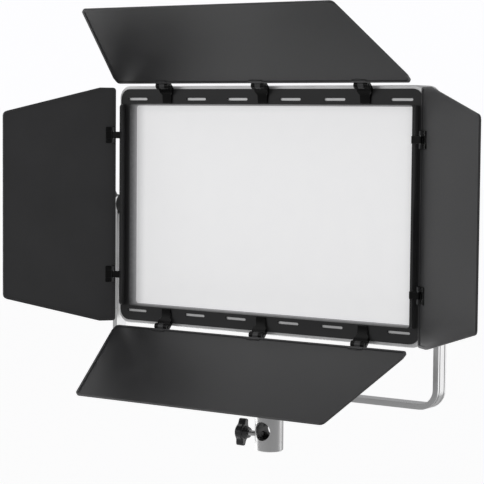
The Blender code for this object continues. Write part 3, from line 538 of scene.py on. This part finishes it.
def screw_head_mesh(radius):
    """Domed head with a cross recess, standing on Z = 0."""
    rise, recess, arm = radius * 0.36, radius * 0.58, radius * 0.15
    cross = []
    for k in range(4):
        quarter = Matrix.Rotation(math.radians(90 * k), 2)
        for point in ((recess, -arm), (recess, arm), (arm, arm)):
            cross.append(quarter @ Vector(point))
    outer = [point.normalized() for point in cross]
    dome = ((1.0, 0.0), (0.97, 0.45), (0.80, 0.86), (0.66, 1.0))
    sections = [[(*(p * radius * reach), rise * height) for p in outer] for reach, height in dome]
    sections += [[(*p, rise) for p in cross], [(*(p * 0.8), rise * 0.15) for p in cross]]
    return stacked(sections)


def make_screws():
    """Small cross-head screws that hold the rear cover, the control panel and the plates."""
    battery_plate_base = 0.0030
    spots = []
    for node, inset, radius in (
        ("rear_cover", 0.0300, 0.0030),
        ("control_panel", 0.0052, 0.0020),
        ("battery_plate_left", 0.0024, 0.0013),
        ("battery_plate_right", 0.0024, 0.0013),
    ):
        low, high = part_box(node)
        depth = low.y + battery_plate_base if node.startswith("battery") else high.y
        for x in (low.x + inset, high.x - inset):
            for z in (low.z + inset, high.z - inset):
                spots.append((node, (x, depth, z), radius))
    for i, (node, place, radius) in enumerate(spots, 1):
        turn = 37 * i % 90
        matrix = facing(place, BACKWARDS, turn)
        add_piece(f"{node}_screw_{i}", screw_head_mesh(radius), "turned_steel", "head", matrix)


def make_dials():
    """Scale marks round both dials, and a pointer on each."""
    panel_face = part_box("control_panel")[1].y
    scale_radius, pointer_radius = 0.0128, 0.0055
    for name in ("dimmer", "colour"):
        low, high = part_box(f"{name}_knob")
        x, z = (low.x + high.x) / 2, (low.z + high.z) / 2
        for i in range(11):
            angle = 30 * i - 150
            turn = math.radians(angle)
            half_length = 0.0011 if i % 5 == 0 else 0.0007
            spot = (x + scale_radius * math.sin(turn), panel_face, z + scale_radius * math.cos(turn))
            mark = slab(0.00022, half_length, 0.0, 0.00008, 0.0001)
            matrix = facing(spot, BACKWARDS, angle)
            add_piece(f"{name}_mark_{i}", mark, "printed_white", "head", matrix)
        pointer = slab(0.00035, 0.0028, -0.0002, 0.00015, 0.0002)
        matrix = facing((x, high.y, z + pointer_radius), BACKWARDS)
        body = f"{name}_knob"
        add_piece(f"{name}_pointer", pointer, "printed_white", body, matrix)


def make_contacts():
    """Five spring contacts on each battery plate's contact block."""
    spacing, below_top, above_base, middle_one = 0.0026, 0.0085, 0.0075, 2
    for side in ("left", "right"):
        low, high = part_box(f"battery_plate_{side}")
        for i in range(5):
            x = (low.x + high.x) / 2 + spacing * (i - middle_one)
            matrix = facing((x, low.y + above_base, high.z - below_top), BACKWARDS)
            blade = slab(0.0007, 0.0032, -0.0002, 0.0004, 0.0004)
            name = f"battery_{side}_contact_{i + 1}"
            add_piece(name, blade, "turned_brass", "head", matrix, 0.00015)


def make_pin_heads():
    """Domed heads on both ends of each hinge pin; a short door carries its own pins' heads."""
    dome = ((0.8, -0.00005), (1.0, 0.00012), (0.92, 0.00040), (0.55, 0.00062))
    for name in NODES:
        if not fnmatch(name, "*_hinge_pin_*"):
            continue
        low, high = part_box(name)
        size = high - low
        upright = size.z > size.x
        axis, radius = (2, 0.0013) if upright else (0, 0.0017)
        body = name.split("_")[0] + "_door" if upright else "head"
        for end, sign, label in ((low, -1, "near"), (high, 1, "far")):
            place = (low + high) / 2
            place[axis] = end[axis]
            outward = [0, 0, 0]
            outward[axis] = sign
            matrix = facing(place, outward)
            head = domed(radius, dome, 20)
            add_piece(f"{name}_{label}_head", head, "hinge_paint", body, matrix)


def make_door_leaves():
    """Glossy leaf, riveted to each short door's inner face beside each of its hinges."""
    middle, behind, front = 0.0052, -0.0021, -0.0013  # from the pin: along the door, then across it
    pad_height, pad_front = 0.0062, -0.0008
    rivet_shift, rivet_radius = 0.0004, 0.0011
    dome = ((1.0, 0.0), (0.9, 0.00028), (0.55, 0.00045))
    joints = {joint["name"]: joint for joint in frame["record"]["behaviour"]["joints"]}
    for side, sign in (("left", -1), ("right", 1)):
        body = f"{side}_door"
        opened = math.radians(-joints[f"{side}_door_fold"]["range_deg"][0])
        out = Vector((-sign * math.cos(opened), -math.sin(opened), 0))
        face = Vector((-sign * math.sin(opened), math.cos(opened), 0))
        axes = Matrix((out, face.cross(out), face)).transposed().to_4x4()
        for i in (1, 2):
            low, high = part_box(f"{side}_hinge_pin_{i}")
            name = f"{side}_door_leaf_{i}"
            across = Matrix.Translation((low + high) / 2) @ axes @ Matrix.Translation((middle, 0, 0))
            leaf = slab(0.0030, 0.0085, behind, front, 0.0009)
            add_piece(name, leaf, "hinge_paint", body, across, 0.0002)
            for k, z in enumerate((-pad_height, pad_height), 1):
                spot = across @ Matrix.Translation((0, z, 0))
                pad = slab(0.0030, 0.0023, behind, pad_front, 0.0009)
                add_piece(f"{name}_pad_{k}", pad, "hinge_paint", body, spot, 0.0003)
                spot = across @ Matrix.Translation((rivet_shift, z, pad_front))
                rivet = domed(rivet_radius, dome, 16)
                add_piece(f"{name}_rivet_{k}", rivet, "hinge_paint", body, spot)


def make_vent_mesh():
    """Woven wire behind the rear cover's vents, against dust."""
    half_width, half_height, above_middle, behind = 0.0270, 0.0380, 0.0620, 0.0030
    low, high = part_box("rear_cover")
    work = bmesh.new()
    bmesh.ops.create_grid(work, x_segments=27, y_segments=38, size=1.0)
    bmesh.ops.scale(work, vec=(half_width, half_height, 1), verts=work.verts)
    place = (0, high.y - behind, (low.z + high.z) / 2 + above_middle)
    matrix = facing(place, BACKWARDS)
    item = add_piece("vent_mesh", work, "turned_steel", "head", matrix)
    item.modifiers.new("wires", "WIREFRAME").thickness = 0.0005


make_clamp()
make_tilt_knobs()
make_screws()
make_dials()
make_contacts()
make_pin_heads()
make_door_leaves()
make_vent_mesh()


# ---------------------------------------------------------------- studio


def soft_light(name, direction, distance, size, power):
    """A rectangular soft light that shines on the lamp from the given direction."""
    data = bpy.data.lights.new(name, "AREA")
    data.shape = "RECTANGLE"
    data.size, data.size_y = size
    data.energy = power
    light = bpy.data.objects.new(name, data)
    bpy.context.scene.collection.objects.link(light)
    away = Vector(direction).normalized()
    light.location = Vector(LIGHTS_AIM) + away * distance
    light.rotation_euler = away.to_track_quat("Z", "Y").to_euler()
    light.visible_camera = False


def make_lights():
    """Soft light, most of it from the lamp's left."""
    for light in (
        # name, direction from the lamp, distance, width and height, power
        ("front_left_light", (-0.62, -0.80, 0.46), 2.4, (2.0, 2.0), 11.0),
        ("upper_left_light", (-0.80, 0.30, 0.72), 1.8, (1.2, 1.2), 4.5),
        ("lower_left_light", (-0.70, 0.17, -0.62), 1.0, (0.8, 0.8), 3.4),
        ("back_right_light", (0.60, 0.80, 0.05), 2.2, (1.0, 2.2), 8.0),
        ("left_light", (-0.95, 0.29, 0.02), 1.8, (1.4, 1.8), 16.0),
    ):
        soft_light(*light)


def make_camera():
    """A long lens, to the right of the lamp and a little above it, at the photograph's angle."""
    place, heading, downward, roll = (0.99494, -1.50308, 0.33636), 34.426, 3.991, 0.485
    data = bpy.data.cameras.new("camera")
    data.lens = 133.88
    data.sensor_width = 36.0
    data.clip_start = 0.05
    data.clip_end = 60.0
    camera = bpy.data.objects.new("camera", data)
    bpy.context.scene.collection.objects.link(camera)
    turns = ((heading, "Z"), (90 - downward, "X"), (roll, "Z"))
    aim = [Matrix.Rotation(math.radians(angle), 4, axis) for angle, axis in turns]
    camera.matrix_world = Matrix.Translation(place) @ aim[0] @ aim[1] @ aim[2]
    bpy.context.scene.camera = camera


def make_world():
    """White all round for the eye, dimmer as a source of light."""
    world = bpy.data.worlds.new("studio")
    bpy.context.scene.world = world
    world.use_nodes = True
    tree = world.node_tree
    seen = tree.nodes.new("ShaderNodeLightPath").outputs["Is Camera Ray"]
    strength = tree.nodes.new("ShaderNodeMapRange")
    strength.inputs["To Min"].default_value = 0.42
    strength.inputs["To Max"].default_value = 1.0
    tree.links.new(seen, strength.inputs["Value"])
    background = tree.nodes["Background"]
    background.inputs["Color"].default_value = (0.985, 0.985, 1.0, 1.0)
    tree.links.new(strength.outputs[0], background.inputs["Strength"])


def make_floor():
    """A pale floor, a metre below the lamp's receiver, where a stand's feet would be."""
    mesh = bpy.data.meshes.new("floor")
    work = bmesh.new()
    bmesh.ops.create_grid(work, x_segments=1, y_segments=1, size=30.0)
    work.to_mesh(mesh)
    work.free()
    floor = bpy.data.objects.new("floor", mesh)
    bpy.context.scene.collection.objects.link(floor)
    floor.location.z = FLOOR_HEIGHT
    finish = Finish("pale_floor", grey(0.50), 0.9, Emission_Color=(1.0, 1.0, 1.0, 1.0))
    seen = finish.add("ShaderNodeLightPath").outputs["Is Camera Ray"]
    glow = finish.add("ShaderNodeMapRange", i0=seen, i3=0.20, i4=0.75).outputs[0]
    finish.use(Emission_Strength=glow)
    mesh.materials.append(finish.material)


bpy.context.scene.view_settings.view_transform = "Standard"
make_world()
make_floor()
make_camera()
make_lights()
